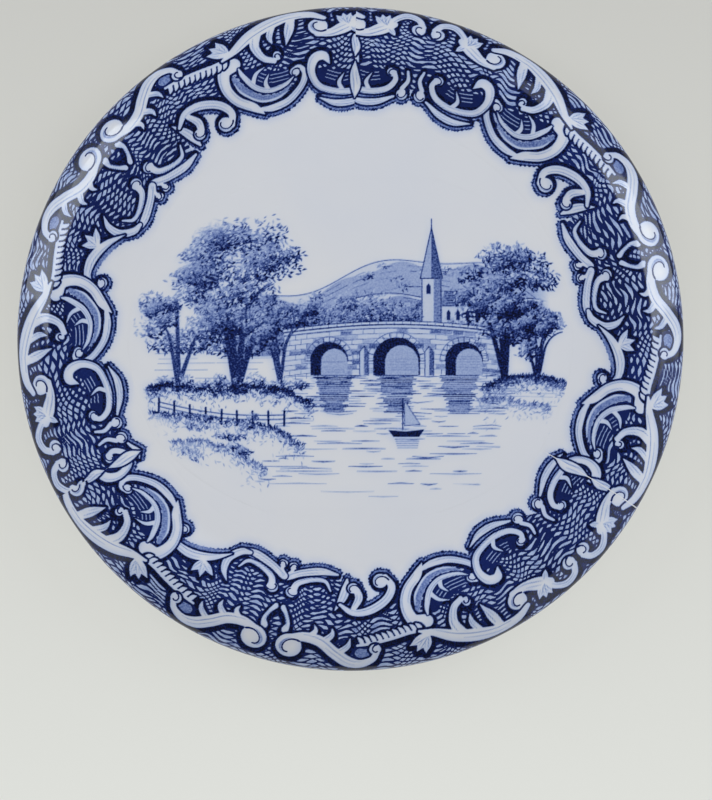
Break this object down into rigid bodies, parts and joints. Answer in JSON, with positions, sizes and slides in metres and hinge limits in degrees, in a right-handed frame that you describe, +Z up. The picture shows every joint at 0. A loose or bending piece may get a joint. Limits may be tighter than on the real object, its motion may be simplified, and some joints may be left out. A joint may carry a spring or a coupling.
{
  "type": "souvenir plate",
  "caption": "Round footed plate of low stand form: flat well, raised rolled rim, sloping shoulder and turned foot ring, with a printed border and centre picture under clear glaze.",
  "frame": {"origin": "centre of the standing plane, on the plate's axis", "axes": "+Z up the plate's axis and out of its face, +Y to the top of the printed picture, +X to its right"},
  "size_m": [0.155, 0.155, 0.0171],
  "materials": {
    "biscuit": "matte",
    "clear_glaze": "polished",
    "blue_print": "gloss"
  },
  "bodies": {
    "root": {"biscuit_body": "biscuit", "face_glaze": "clear_glaze", "back_glaze": "clear_glaze", "centre_print": "blue_print", "border_print_right": "blue_print", "border_print_left": "blue_print", "border_print_lower": "blue_print"}
  },
  "joints": []
}
